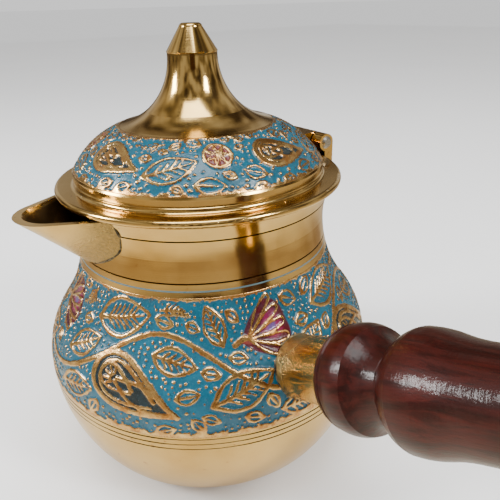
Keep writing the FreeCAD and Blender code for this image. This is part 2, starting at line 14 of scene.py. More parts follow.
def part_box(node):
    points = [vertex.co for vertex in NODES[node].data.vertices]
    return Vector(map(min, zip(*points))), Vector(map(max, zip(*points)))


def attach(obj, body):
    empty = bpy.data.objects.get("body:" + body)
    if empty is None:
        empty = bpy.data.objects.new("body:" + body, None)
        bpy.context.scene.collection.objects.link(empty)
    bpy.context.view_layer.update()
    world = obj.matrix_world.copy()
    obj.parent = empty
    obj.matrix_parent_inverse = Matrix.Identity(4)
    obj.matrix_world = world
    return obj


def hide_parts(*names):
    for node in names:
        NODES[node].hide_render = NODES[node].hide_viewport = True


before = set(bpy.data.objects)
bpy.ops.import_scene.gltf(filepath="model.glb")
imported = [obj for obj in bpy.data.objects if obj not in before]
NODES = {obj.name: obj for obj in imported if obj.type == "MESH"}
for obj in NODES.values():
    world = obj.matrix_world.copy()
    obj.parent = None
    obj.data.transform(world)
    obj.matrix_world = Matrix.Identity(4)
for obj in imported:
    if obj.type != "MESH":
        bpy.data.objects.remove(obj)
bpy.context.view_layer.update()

MM = 0.001
SCENE = bpy.context.scene
RNG = np.random.default_rng(7)


# ---- shader helpers -------------------------------------------------------------------------

def srgb(red, green, blue):
    """An sRGB colour, 0 to 255 a channel, as the linear colour that a shader takes."""
    linear = []
    for channel in (red, green, blue):
        c = channel / 255
        linear.append(c / 12.92 if c <= 0.04045 else ((c + 0.055) / 1.055) ** 2.4)
    return (*linear, 1.0)


class Shader:
    """A material with a Principled shader and short ways to add nodes."""

    def __init__(self, name):
        self.material = bpy.data.materials.new(name)
        self.material.use_nodes = True
        self.tree = self.material.node_tree
        self.main = self.tree.nodes["Principled BSDF"]

    def node(self, kind, **settings):
        node = self.tree.nodes.new("ShaderNode" + kind)
        for key, value in settings.items():
            setattr(node, key, value)
        return node

    def put(self, socket, value):
        if isinstance(value, bpy.types.NodeSocket):
            self.tree.links.new(value, socket)
        elif value is not None:
            socket.default_value = value

    def math(self, operation, first, second=None):
        node = self.node("Math", operation=operation)
        for socket, value in zip(node.inputs, (first, second)):
            self.put(socket, value)
        return node.outputs[0]

    def place(self):
        """Position in metres in the row's frame."""
        return self.node("TexCoord").outputs["Object"]

    def split(self, vector):
        node = self.node("SeparateXYZ")
        self.put(node.inputs[0], vector)
        return node.outputs

    def radius(self, vector):
        """Distance from the Z axis."""
        x, y, _ = self.split(vector)
        return self.math("SQRT", self.math("ADD", self.math("MULTIPLY", x, x),
                                           self.math("MULTIPLY", y, y)))

    def join(self, x, y, z):
        node = self.node("CombineXYZ")
        for socket, value in zip(node.inputs, (x, y, z)):
            self.put(socket, value)
        return node.outputs[0]

    def noise(self, vector, scale, detail=4.0, roughness=0.55, distortion=0.0):
        node = self.node("TexNoise")
        self.put(node.inputs["Vector"], vector)
        node.inputs["Scale"].default_value = scale
        node.inputs["Detail"].default_value = detail
        node.inputs["Roughness"].default_value = roughness
        node.inputs["Distortion"].default_value = distortion
        return node.outputs["Fac"]

    def stretch(self, vector, scale):
        node = self.node("Mapping")
        self.put(node.inputs["Vector"], vector)
        node.inputs["Scale"].default_value = scale
        return node.outputs[0]

    def range(self, value, low, high, to_low=0.0, to_high=1.0, smooth=False):
        node = self.node("MapRange", interpolation_type="SMOOTHSTEP" if smooth else "LINEAR")
        for socket, number in zip(node.inputs, (value, low, high, to_low, to_high)):
            self.put(socket, number)
        return node.outputs[0]

    def ramp(self, value, stops):
        node = self.node("ValToRGB")
        self.put(node.inputs[0], value)
        elements = node.color_ramp.elements
        while len(elements) < len(stops):
            elements.new(0.5)
        for element, (position, colour) in zip(elements, stops):
            element.position = position
            element.color = colour
        return node.outputs[0]

    def mix(self, factor, first, second):
        """Two colours mixed; a Mix node keeps its colours in sockets 6 and 7 and output 2."""
        node = self.node("Mix", data_type="RGBA")
        self.put(node.inputs["Factor"], factor)
        self.put(node.inputs[6], first)
        self.put(node.inputs[7], second)
        return node.outputs[2]

    def bump(self, height, distance, strength=1.0, under=None):
        node = self.node("Bump")
        node.inputs["Strength"].default_value = strength
        node.inputs["Distance"].default_value = distance
        self.put(node.inputs["Height"], height)
        self.put(node.inputs["Normal"], under)
        return node.outputs[0]

    def attribute(self, name):
        return self.node("Attribute", attribute_name=name).outputs

    def finish(self, **sockets):
        for name, value in sockets.items():
            self.put(self.main.inputs[name.replace("_", " ")], value)
        return self.material


# ---- materials ------------------------------------------------------------------------------

BRASS_BRIGHT = srgb(209, 177, 112)
BRASS_DEEP = srgb(193, 155, 85)
BRASS_TARNISH = srgb(150, 104, 58)
BRASS_FILED = srgb(140, 124, 86)
RELIEF_BRIGHT = srgb(228, 194, 128)
RELIEF_PATINA = srgb(178, 126, 70)
RELIEF_RIM = srgb(70, 44, 24)
# a darker colour laid along the turned grooves
GROOVE_DARK = srgb(44, 32, 20)
# painted shade inside the spout's channel, mixed with the duller unpolished metal there
CHANNEL_SHADE_AND_DULL = srgb(52, 34, 22)
ENAMEL_DEEP = (0.004, 0.030, 0.045, 1.0)
ENAMEL_PIT = (0.006, 0.012, 0.016, 1.0)
ENAMEL_DUST = (0.5, 0.6, 0.62, 1.0)
TURNING_SCALE = 2600.0          # how close together the lathe's lines are
GROOVE_DARK_FULL = 0.00012             # distance from a groove's middle where the darkening is strongest
GROOVE_DARK_END = 0.00030              # and where it ends


def brass_colour(shader, place):
    """Polished brass with faint clouds of tarnish and a few dark specks."""
    clouds = shader.noise(place, 45, detail=5)
    colour = shader.mix(shader.range(clouds, 0.35, 0.7), BRASS_BRIGHT, BRASS_DEEP)
    specks = shader.noise(place, 420, detail=2)
    return shader.mix(shader.range(specks, 0.70, 0.76, 0.0, 0.6), colour, BRASS_TARNISH)


def turning_lines(shader, place):
    """Fine rings left by the lathe about the Z axis: a noise of height and radius only."""
    turned = shader.join(shader.radius(place), 0.0, shader.split(place)[2])
    return shader.noise(turned, TURNING_SCALE, detail=3, roughness=0.6)


def darken_grooves(shader, place, colour, grooves):
    """Darker colour along the turned grooves, at the given heights."""
    height = shader.split(place)[2]
    for groove in grooves:
        gap = shader.math("ABSOLUTE", shader.math("SUBTRACT", height, groove))
        # the colour drawn darker close to each groove's middle
        darkening = shader.range(gap, GROOVE_DARK_END, GROOVE_DARK_FULL, 0.0, 0.85, smooth=True)
        colour = shader.mix(darkening, colour, GROOVE_DARK)
    return colour


def brass(name, rings=True, grooves=()):
    """Polished brass with a lathe's rings, or plain fine scratches, and darker colour along its
    grooves.
    """
    shader = Shader(name)
    place = shader.place()
    smudges = shader.noise(place, 60, detail=6, roughness=0.65)
    lines = turning_lines(shader, place) if rings else shader.noise(place, 900, detail=3)
    normal = shader.bump(lines, 0.00002, 0.35)
    colour = darken_grooves(shader, place, brass_colour(shader, place), grooves)
    return shader.finish(Base_Color=colour, Metallic=1.0,
                         Roughness=shader.range(smudges, 0.35, 0.75, 0.10, 0.24),
                         Normal=normal)


def channel_mask(shader, place, rim):
    """1 on the faces that look into the spout's channel, below its rim."""
    x, _, z = shader.split(place)
    normal_x, _, normal_z = shader.split(shader.node("TexCoord").outputs["Normal"])
    inward = shader.math("MULTIPLY", normal_x, shader.math("SIGN", x))
    facing = shader.math("MAXIMUM", shader.math("MULTIPLY", inward, -1.0), normal_z)
    below = shader.range(z, rim, rim - 0.0012)
    return shader.math("MULTIPLY", shader.range(facing, 0.1, 0.3), below)


def filed_brass(name, root_radius, reach, channel_rim=None):
    """Brass with coarse file marks near its soldered root, this far from the pot's axis, and, given
    a channel rim, painted shade and dull unpolished metal inside the spout's channel.
    """
    shader = Shader(name)
    place = shader.place()
    near = shader.range(shader.radius(place), root_radius, root_radius + reach, 1.0, 0.0,
                        smooth=True)
    turned = shader.node("Mapping")
    shader.put(turned.inputs["Vector"], place)
    turned.inputs["Rotation"].default_value = (0.7, 0.5, 0.4)
    turned.inputs["Scale"].default_value = (1.0, 9.0, 9.0)
    marks = shader.noise(turned.outputs[0], 170, detail=4, roughness=0.7)
    height = shader.math("MULTIPLY", marks, near)
    smudges = shader.noise(place, 90, detail=5)
    rough = shader.math("ADD", shader.range(smudges, 0.3, 0.8, 0.12, 0.22),
                        shader.math("MULTIPLY", near, 0.14))
    dull = shader.math("MULTIPLY", near, shader.range(marks, 0.35, 0.65, 0.15, 0.75))
    colour = shader.mix(dull, brass_colour(shader, place), BRASS_FILED)
    if channel_rim is not None:
        # inside the spout's channel: painted shade plus dull unpolished metal, a darker colour and
        # a rougher finish
        inside = channel_mask(shader, place, channel_rim)
        colour = shader.mix(shader.math("MULTIPLY", inside, 0.9), colour, CHANNEL_SHADE_AND_DULL)
        rough = shader.math("ADD", rough, shader.math("MULTIPLY", inside, 0.3))
    return shader.finish(Base_Color=colour, Metallic=1.0, Roughness=rough,
                         Normal=shader.bump(height, 0.0004, 1.0))


def solder(name):
    """Dull grey-brown solder, darker between its clumps."""
    shader = Shader(name)
    place = shader.place()
    clumps = shader.noise(place, 900, detail=4)
    colour = shader.mix(shader.range(clumps, 0.4, 0.62), srgb(46, 42, 36), srgb(128, 116, 88))
    return shader.finish(Base_Color=colour, Metallic=0.7,
                         Roughness=shader.range(clumps, 0.3, 0.8, 0.35, 0.6),
                         Normal=shader.bump(clumps, 0.0002, 0.8))


def steel(name):
    """Grey steel with fine lines along X."""
    shader = Shader(name)
    place = shader.place()
    lines = shader.noise(shader.stretch(place, (1.0, 12.0, 12.0)), 300, detail=3)
    return shader.finish(Base_Color=srgb(168, 166, 160), Metallic=1.0,
                         Roughness=shader.range(lines, 0.3, 0.7, 0.22, 0.4),
                         Normal=shader.bump(lines, 0.00003, 0.4))


def relief_material(name, wear):
    """Raised worn brass over glossy enamel; the mesh says where each one is."""
    shader = Shader(name)
    place = shader.place()
    edge = shader.attribute("brass_distance")["Fac"]
    ragged = shader.noise(place, 1500, detail=4, roughness=0.7)
    wobble = shader.range(ragged, 0.3, 0.7, -wear, wear)
    metal = shader.range(shader.math("ADD", edge, wobble), -0.035, 0.035, smooth=True)
    tint = shader.attribute("enamel_colour")["Color"]
    clouds = shader.noise(place, 260, detail=5, roughness=0.6)
    specks = shader.noise(place, 1900, detail=3, roughness=0.7)
    deep = shader.mix(shader.range(clouds, 0.35, 0.7, 0.0, 0.55), tint, ENAMEL_DEEP)
    pitted = shader.mix(shader.range(specks, 0.64, 0.72, 0.0, 0.8), deep, ENAMEL_PIT)
    dusty = shader.mix(shader.range(specks, 0.36, 0.28, 0.0, 0.35), pitted,
                       shader.mix(0.5, tint, ENAMEL_DUST))
    patina = shader.noise(place, 330, detail=5, roughness=0.7)
    warm = shader.mix(shader.range(patina, 0.35, 0.62), RELIEF_BRIGHT, RELIEF_PATINA)
    warm = shader.mix(shader.range(edge, 0.0, 0.16, 0.55, 0.0), warm, RELIEF_RIM)
    colour = shader.mix(metal, dusty, warm)
    gloss = shader.range(clouds, 0.3, 0.8, 0.16, 0.34)
    dull = shader.range(patina, 0.3, 0.75, 0.16, 0.38)
    rough = shader.math("ADD", shader.math("MULTIPLY", metal, dull),
                        shader.math("MULTIPLY", shader.math("SUBTRACT", 1.0, metal), gloss))
    grain = shader.bump(specks, 0.00006, 0.5)
    chased = shader.bump(shader.noise(place, 700, detail=4), 0.00012, 0.5, under=grain)
    return shader.finish(Base_Color=colour, Metallic=metal, Roughness=rough, Normal=chased)


def enamel_line(name):
    """The dull blue-grey line at the bottom of the neck."""
    shader = Shader(name)
    place = shader.place()
    clouds = shader.noise(place, 500, detail=4)
    colour = shader.mix(clouds, srgb(58, 92, 104), srgb(92, 108, 104))
    return shader.finish(Base_Color=colour, Roughness=shader.range(clouds, 0.3, 0.7, 0.25, 0.4),
                         Normal=shader.bump(clouds, 0.00004, 0.5))


def lacquered_wood(name, axis, foot):
    """Dark red-brown wood, grain along the grip, under a clear gloss lacquer."""
    shader = Shader(name)
    place = shader.place()
    moved = shader.node("Mapping", vector_type="TEXTURE")
    shader.put(moved.inputs["Vector"], place)
    moved.inputs["Location"].default_value = foot
    moved.inputs["Rotation"].default_value = (0.0, math.atan2(axis.x, axis.z), 0.0)
    local = moved.outputs[0]
    grain = shader.noise(shader.stretch(local, (26.0, 26.0, 1.2)), 16, detail=7, roughness=0.68,
                         distortion=0.6)
    pores = shader.noise(shader.stretch(local, (60.0, 60.0, 4.0)), 32, detail=3, roughness=0.8)
    clouds = shader.noise(local, 42, detail=4)
    colour = shader.ramp(grain, [(0.28, srgb(24, 5, 3)), (0.46, srgb(46, 9, 5)),
                                 (0.58, srgb(64, 15, 8)), (0.75, srgb(34, 7, 4))])
    colour = shader.mix(shader.range(clouds, 0.35, 0.7, 0.0, 0.65), colour, srgb(18, 4, 3))
    colour = shader.mix(shader.range(pores, 0.62, 0.72, 0.0, 0.7), colour, srgb(7, 3, 3))
    rings = shader.noise(shader.stretch(local, (2.0, 2.0, 26.0)), 60, detail=4, roughness=0.7)
    dents = shader.noise(local, 260, detail=4, roughness=0.7)
    coat_normal = shader.bump(rings, 0.0002, 0.35, under=shader.bump(dents, 0.0004, 0.35))
    wood_normal = shader.bump(pores, 0.00008, 0.5)
    return shader.finish(Base_Color=colour, Roughness=shader.range(grain, 0.3, 0.7, 0.32, 0.5),
                         Normal=wood_normal, Specular_IOR_Level=0.12, Coat_Weight=0.35,
                         Coat_Roughness=0.09, Coat_Normal=coat_normal)


# ---- mesh helpers ---------------------------------------------------------------------------

def add_mesh(name, points, faces, material, smooth=True):
    """A new object with one material, linked into the scene."""
    mesh = bpy.data.meshes.new(name)
    mesh.from_pydata([tuple(p) for p in points], [], [tuple(f) for f in faces])
    mesh.materials.append(material)
    mesh.polygons.foreach_set("use_smooth", [smooth] * len(mesh.polygons))
    mesh.update()
    piece = bpy.data.objects.new(name, mesh)
    SCENE.collection.objects.link(piece)
    return piece


def grid_faces(rows, columns, close_rows=False, close_columns=True):
    """Quads over a grid of points numbered row by row."""
    row = np.arange(rows if close_rows else rows - 1)[:, None]
    column = np.arange(columns if close_columns else columns - 1)[None, :]
    after = (row + 1) % rows
    beside = (column + 1) % columns
    corners = (row * columns + column, row * columns + beside,
               after * columns + beside, after * columns + column)
    shape = (row.size, column.size)
    return np.stack([np.broadcast_to(corner, shape) for corner in corners], -1).reshape(-1, 4)


def paint(node, material):
    """Give a carried-over CAD node its finished material."""
    piece = NODES[node]
    piece.data.materials.clear()
    piece.data.materials.append(material)


def node_points(node):
    """A carried-over CAD node's vertices, one row each."""
    mesh = NODES[node].data
    points = np.empty(len(mesh.vertices) * 3)
    mesh.vertices.foreach_get("co", points)
    return points.reshape(-1, 3)


def outside_profile(node):
    """Height and radius of a turned node's outer surface, sorted from the bottom up.

    Where the spout is cut through the neck, a few points of the cut's inner edge come in too.
    """
    mesh = NODES[node].data
    found = set()
    for face in mesh.polygons:
        centre = face.center
        radial = Vector((centre.x, centre.y, 0)).normalized()
        if face.normal.dot(radial) > 0.1:
            for index in face.vertices:
                point = mesh.vertices[index].co
                found.add((round(point.z, 7), round(math.hypot(point.x, point.y), 7)))
    heights, radii = np.array(sorted(found)).T
    keep = np.append(True, np.diff(heights) > 1e-6)
    return heights[keep], radii[keep]


def groove_heights(node, shallowest=0.0002, deepest=0.0005, width=0.0008):
    """Heights of the turned grooves: narrow dips in a turned node's outside.

    Deeper dips are the inner edge of the cut for the spout, not grooves.
    """
    heights, radii = outside_profile(node)
    depth = np.minimum(radii[:-2], radii[2:]) - radii[1:-1]
    dips = (depth > shallowest) & (depth < deepest) & (heights[2:] - heights[:-2] < width)
    return [float(height) for height in heights[1:-1][dips]]


def smooth_curve(points, count):
    """Points evenly spaced along a Catmull-Rom curve through the given ones."""
    points = np.array(points, float)
    padded = np.vstack([2 * points[0] - points[1], points, 2 * points[-1] - points[-2]])
    places = np.linspace(0, len(points) - 1, count)
    start = np.minimum(places.astype(int), len(points) - 2)
    part = (places - start)[:, None]
    a, b, c, d = (padded[start + i] for i in range(4))
    return 0.5 * (2 * b + (c - a) * part + (2 * a - 5 * b + 4 * c - d) * part ** 2
                  + (3 * b - a - 3 * c + d) * part ** 3)


def smoothstep(value, low, high):
    """0 below low, 1 above high, and a smooth rise between them."""
    share = np.clip((value - low) / (high - low), 0, 1)
    return share * share * (3 - 2 * share)


# ---- the enamelled relief -------------------------------------------------------------------

# linear enamel colours
BLUE = (0.005, 0.088, 0.140)
NIGHT = (0.010, 0.013, 0.012)
WINE = (0.070, 0.003, 0.007)
MAGENTA = (0.190, 0.006, 0.050)
VIOLET = (0.110, 0.055, 0.190)
BRICK = (0.230, 0.030, 0.016)
ROSE = (0.160, 0.026, 0.024)

# lengths on the band, in millimetres
BARE = -5.0                     # distance to the brass where none has been drawn
STROKE_MARGIN = 1.6             # how far round a stroke the distance to it is worked out
PATCH_MARGIN = 1.0
FAR = 9.0                       # more than any distance inside a patch
BACK_ROWS = 24                  # rows of points on the plain face behind the relief


class Field:
    """A band round the pot on which motifs are drawn: degrees round it, millimetres up it."""

    def __init__(self, profile, spacing, mean_radius):
        heights, radii = profile
        climb = np.append(0, np.cumsum(np.hypot(np.diff(heights), np.diff(radii)))) / MM
        rows = int(climb[-1] / spacing) + 1
        columns = int(2 * math.pi * radii.max() / MM / spacing)
        self.up = np.linspace(0, climb[-1], rows)
        self.height = np.interp(self.up, climb, heights)
        self.radius = np.interp(self.up, climb, radii)
        self.degrees = np.linspace(-180, 180, columns, endpoint=False)
        self.per_degree = math.radians(mean_radius)
        self.brass = np.full((rows, columns), BARE)
        self.taken = np.zeros((rows, columns), bool)
        self.colour = np.empty((rows, columns, 3))
        self.colour[:] = BLUE

    def window(self, low, high, margin):
        """The rows and columns near a box of (degrees, up)."""
        side = margin / self.per_degree
        columns = np.nonzero((self.degrees > low[0] - side) & (self.degrees < high[0] + side))[0]
        rows = np.nonzero((self.up > low[1] - margin) & (self.up < high[1] + margin))[0]
        if not len(columns) or not len(rows):
            return None
        return slice(rows[0], rows[-1] + 1), slice(columns[0], columns[-1] + 1)

    def stroke(self, points, width, end_width=None):
        """A raised brass line; widths are in millimetres."""
        last = width if end_width is None else end_width
        curve = smooth_curve(points, 5 * len(points)) if len(points) > 1 else np.array(points * 2)
        halves = np.linspace(width, last, len(curve)) / 2
        for turn in (-360, 0, 360):
            for i in range(len(curve) - 1):
                start, end = curve[i] + (turn, 0), curve[i + 1] + (turn, 0)
                found = self.window(np.minimum(start, end), np.maximum(start, end), STROKE_MARGIN)
                if found is None:
                    continue
                x = (self.degrees[found[1]][None, :] - start[0]) * self.per_degree
                y = self.up[found[0]][:, None] - start[1]
                along = ((end[0] - start[0]) * self.per_degree, end[1] - start[1])
                span = max(along[0] ** 2 + along[1] ** 2, 1e-9)
                share = np.clip((x * along[0] + y * along[1]) / span, 0, 1)
                gap = np.hypot(x - share * along[0], y - share * along[1])
                reach = halves[i] + (halves[i + 1] - halves[i]) * share - gap
                self.brass[found] = np.maximum(self.brass[found], reach)

    def dot(self, place, size):
        """A round brass dot of this diameter."""
        self.stroke([place], size)

    def fern(self, stem, length, step, width):
        """A stem with tapering leaflets on both sides, shorter toward its tip."""
        self.stroke(stem, width * 1.3, width * 0.7)
        curve = smooth_curve(stem, 60) * (self.per_degree, 1)
        travelled = np.append(0, np.cumsum(np.hypot(*np.diff(curve, axis=0).T)))
        count = int(travelled[-1] / step)
        for i in range(1, count + 1):
            share = i / (count + 1)
            at = min(int(np.searchsorted(travelled, share * travelled[-1])), len(curve) - 2)
            heading = math.atan2(*(curve[at + 1] - curve[at])[::-1])
            reach = length * (1.15 - share)
            for turn in (-0.85, 0.85):
                bend = heading + turn
                middle = curve[at] + 0.55 * reach * np.array((math.cos(bend), math.sin(bend)))
                tip = middle + 0.45 * reach * np.array((math.cos(bend - turn * 0.5),
                                                        math.sin(bend - turn * 0.5)))
                leaflet = np.array([curve[at], middle, tip]) / (self.per_degree, 1)
                self.stroke(leaflet.tolist(), width, width * 0.35)

    def lay(self, points, at, heading, length):
        """Points drawn along a line one unit long, set down on the band."""
        turn = math.radians(heading)
        x, y = np.array(points, float).T * length
        across = (x * math.cos(turn) - y * math.sin(turn)) / self.per_degree
        up = x * math.sin(turn) + y * math.cos(turn)
        return np.stack([at[0] + across, at[1] + up], -1).tolist()

    def cell(self, place):
        """The row and column of a place, or None off the band's top or bottom."""
        if not 0 <= place[1] <= self.up[-1]:
            return None
        columns = len(self.degrees)
        row = int(place[1] / self.up[-1] * (len(self.up) - 1))
        return row, int((place[0] + 180) / 360 * columns) % columns

    def has_room(self, at, heading, length, clearance=0.5):
        """Whether a leaf of this length fits here, clear of what is already drawn."""
        outline = [(x, y) for x in (0, 0.25, 0.5, 0.75, 1) for y in (-0.24, 0, 0.24)]
        for place in self.lay(outline, at, heading, length):
            found = self.cell(place)
            if found is None or self.taken[found] or self.brass[found] > -clearance:
                return False
        return True

    def punch_ground(self, spacing, size):
        """Punched dots over the bare enamel between the motifs."""
        for up in np.arange(spacing, self.up[-1], spacing):
            for x in np.arange(-180, 180, spacing / self.per_degree):
                place = (x + RNG.uniform(-0.4, 0.4) * spacing / self.per_degree,
                         up + RNG.uniform(-0.4, 0.4) * spacing)
                found = self.cell(place)
                if found and not self.taken[found] and self.brass[found] < -0.6:
                    self.dot(place, size * RNG.uniform(0.6, 1.1))

    def patch(self, points, colour, blur=0.5):
        """Enamel of another colour inside a closed curve."""
        closed = smooth_curve(list(points) + [points[0]], 5 * len(points))
        for turn in (-360, 0, 360):
            outline = closed + (turn, 0)
            found = self.window(outline.min(0), outline.max(0), PATCH_MARGIN)
            if found is None:
                continue
            x, y = np.meshgrid(self.degrees[found[1]] * self.per_degree, self.up[found[0]])
            inside = np.zeros(x.shape, bool)
            nearest = np.full(x.shape, FAR)
            for (x0, y0), (x1, y1) in zip(outline[:-1], outline[1:]):
                x0, x1 = x0 * self.per_degree, x1 * self.per_degree
                crossing = (y0 > y) != (y1 > y)
                if y1 != y0:
                    inside ^= crossing & (x < (x1 - x0) * (y - y0) / (y1 - y0) + x0)
                span = max((x1 - x0) ** 2 + (y1 - y0) ** 2, 1e-9)
                share = np.clip(((x - x0) * (x1 - x0) + (y - y0) * (y1 - y0)) / span, 0, 1)
                gap = np.hypot(x - x0 - share * (x1 - x0), y - y0 - share * (y1 - y0))
                nearest = np.minimum(nearest, gap)
            amount = smoothstep(np.where(inside, nearest, -nearest), -blur / 2, blur / 2)[..., None]
            self.colour[found] = self.colour[found] * (1 - amount) + np.array(colour) * amount
            self.taken[found] |= inside

    def noise(self, size, octaves=3):
        """Smooth seeded noise from -1 to 1 that joins up round the band; size is in millimetres."""
        total = np.zeros(self.brass.shape)
        strength = 1.0
        for _ in range(octaves):
            around = max(int(360 * self.per_degree / size), 4)
            tall = int(self.up[-1] / size) + 3
            lattice = RNG.uniform(-1, 1, (tall, around))
            x = (self.degrees + 180) / 360 * around
            y = self.up / size
            x0, y0 = x.astype(int), y.astype(int)
            fx = smoothstep(x - x0, 0, 1)[None, :]
            fy = smoothstep(y - y0, 0, 1)[:, None]
            left, right = x0 % around, (x0 + 1) % around
            low = lattice[y0][:, left] * (1 - fx) + lattice[y0][:, right] * fx
            high = lattice[y0 + 1][:, left] * (1 - fx) + lattice[y0 + 1][:, right] * fx
            total += strength * (low * (1 - fy) + high * fy)
            strength *= 0.55
            size *= 0.5
        return total / 1.6

    def border(self, low, high, waves):
        """Bare brass below and above the enamel, with an uneven hand-painted edge."""
        sweep = np.radians(self.degrees)
        ripple = 0.22 * np.sin(sweep * waves) + 0.16 * np.sin(sweep * waves * 2.3 + 1.0)
        uneven = 0.55 * self.noise(2.4)
        up = self.up[:, None]
        self.brass = np.maximum(self.brass, low + ripple[None, :] + uneven - up)
        self.brass = np.maximum(self.brass, up - high - uneven)

    def broaden(self, amount):
        """Every raised brass shape grows by this many millimetres on each side."""
        self.brass += amount

    def build(self, name, material, relief, back):
        """The finished band: relief on the outside, a plain face behind it."""
        worn = self.brass + 0.20 * self.noise(1.5) + 0.10 * self.noise(0.7)
        raised = smoothstep(worn, -0.16, 0.14)
        crown = np.clip(self.brass, 0, 0.4) * 0.08 * relief
        out = (raised - 1) * relief + crown * raised + 0.03 * self.noise(1.6) * raised
        edge = np.minimum(self.up, self.up[-1] - self.up)[:, None]
        out = out * smoothstep(edge, 0.0, 0.35)
        rise = np.gradient(self.height)
        spread = np.gradient(self.radius)
        length = np.hypot(rise, spread)
        normal_out, normal_up = rise / length, -spread / length
        angle = np.radians(self.degrees)[None, :]

        def ring(depth):
            radius = self.radius[:, None] + depth * MM * normal_out[:, None]
            height = self.height[:, None] + depth * MM * normal_up[:, None]
            points = np.stack(np.broadcast_arrays(radius * np.cos(angle), radius * np.sin(angle),
                                                  height), -1)
            return points.reshape(-1, 3)

        rows, columns = self.brass.shape
        front = ring(out)
        picked = np.unique(np.linspace(0, rows - 1, BACK_ROWS).astype(int))
        behind = ring(np.full((rows, 1), -back)).reshape(rows, columns, 3)[picked]
        points = np.vstack([front, behind.reshape(-1, 3)])
        base = rows * columns
        faces = grid_faces(rows, columns)
        inner = base + grid_faces(len(picked), columns)[:, ::-1]
        side = np.arange(columns)
        beside = (side + 1) % columns
        top = base - columns
        back_top = len(points) - columns
        low_lip = np.stack([side, base + side, base + beside, beside], -1)
        high_lip = np.stack([top + side, top + beside, back_top + beside, back_top + side], -1)
        piece = add_mesh(name, points, np.vstack([faces, low_lip, high_lip, inner]), material)
        extra = np.full(len(points) - base, 1.0)
        mesh = piece.data
        distance = mesh.attributes.new("brass_distance", "FLOAT", "POINT")
        distance.data.foreach_set("value", np.append(worn.ravel(), extra))
        tint = mesh.attributes.new("enamel_colour", "FLOAT_COLOR", "POINT")
        colour = np.ones((len(points), 4))
        colour[:base, :3] = self.colour.reshape(-1, 3)
        tint.data.foreach_set("color", colour.ravel())
        return piece


def pointed_drop(width, count=18):
    """A closed drop one unit long, round at its foot and pointed at its tip."""
    turn = np.linspace(0, 2 * math.pi, count, endpoint=False)
    return np.stack([0.5 + 0.5 * np.cos(turn), width * np.sin(turn) * np.sin(turn / 2) ** 1.5], -1)


def draw_leaf(field, at, heading, length, plump=0.26, veins=4, width=0.75):
    """A pointed leaf with a midrib and pairs of veins."""
    for side in (plump, -plump):
        edge = [(0, 0), (0.22, 0.75 * side), (0.5, side), (0.78, 0.6 * side), (1, 0)]
        field.stroke(field.lay(edge, at, heading, length), width, 0.7 * width)
        for i in range(veins):
            start = 0.2 + 0.58 * i / veins
            vein = [(start, 0), (start + 0.1, 0.34 * side), (start + 0.16, 0.6 * side)]
            field.stroke(field.lay(vein, at, heading, length), 0.5 * width, 0.35 * width)
    field.stroke(field.lay([(0, 0), (0.5, 0), (0.9, 0)], at, heading, length), width, 0.4 * width)


def draw_bud(field, at, heading, length):
    """A closed bud: petals folded inside a drop-shaped outline, on near-black enamel."""
    drop = pointed_drop(0.36)
    outline = field.lay(drop, at, heading, length)
    field.patch(outline, NIGHT)
    field.stroke(outline + outline[:1], 1.3)
    for share, width in ((0.74, 0.9), (0.46, 0.8)):
        petal = drop * share + (0.09, 0)
        field.stroke(field.lay(petal[2:-1], at, heading, length), width, 0.6 * width)
    for side in (-1, 1):
        fold = [(0.30, 0.02 * side), (0.52, 0.10 * side), (0.72, 0.09 * side), (0.90, 0.02 * side)]
        field.stroke(field.lay(fold, at, heading, length), 0.9, 0.5)
    for i in range(5):
        turn = math.radians(120 + 30 * i)
        ray = [(0.28 + reach * math.cos(turn), reach * math.sin(turn)) for reach in (0.05, 0.13)]
        field.stroke(field.lay(ray, at, heading, length), 0.5, 0.35)


def draw_flower(field, at, heading, length):
    """A half-open flower: a fan of petals in wine, magenta and violet enamel."""
    fan = [(0, 0), (0.3, 0.3), (0.72, 0.5), (1.0, 0.3), (1.04, 0), (1.0, -0.3), (0.72, -0.5),
           (0.3, -0.3)]
    base = [(0, 0), (0.22, 0.1), (0.34, 0), (0.22, -0.1)]
    heart = [(0.42, 0), (0.68, 0.3), (0.88, 0.2), (0.9, -0.1), (0.66, -0.22)]
    throat = [(0.56, 0), (0.7, 0.12), (0.8, 0.06), (0.72, -0.08)]
    field.patch(field.lay(fan, at, heading, length), WINE)
    field.patch(field.lay(heart, at, heading, length), MAGENTA, blur=1.6)
    field.patch(field.lay(throat, at, heading, length), VIOLET, blur=1.4)
    field.patch(field.lay(base, at, heading, length), BRICK)
    for spread in (-32, -16, 0, 16, 32):
        petal = [(0.16, 0)]
        for reach, offset in ((0.6, -7), (0.92, -4), (0.98, 0), (0.92, 4), (0.6, 7)):
            turn = math.radians(spread + offset)
            petal.append((reach * math.cos(turn), reach * math.sin(turn)))
        field.stroke(field.lay(petal + petal[:1], at, heading, length), 0.5, 0.4)
    field.stroke(field.lay([(-0.1, 0), (0.05, 0.05), (0.2, 0)], at, heading, length), 1.5, 0.8)


def draw_rosette(field, at, radius, petals=7):
    """A round flower seen from above, in rose enamel inside a brass ring."""
    turn = np.linspace(0, 2 * math.pi, 14, endpoint=False)
    rim = field.lay(np.stack([np.cos(turn), np.sin(turn)], -1), at, 0, radius)
    field.patch(rim, ROSE)
    field.stroke(rim + rim[:1], 0.9)
    field.dot(at, 0.4 * radius)
    for i in range(petals):
        petal = pointed_drop(0.24, 9) * 0.62 + (0.26, 0)
        loop = field.lay(petal, at, 360 * i / petals, radius)
        field.stroke(loop + loop[:1], 0.4)


REPEATS = 4                     # motif groups round the pot
PERIOD = 360 / REPEATS
FIRST_BUD = -70.0               # degrees round from the handle


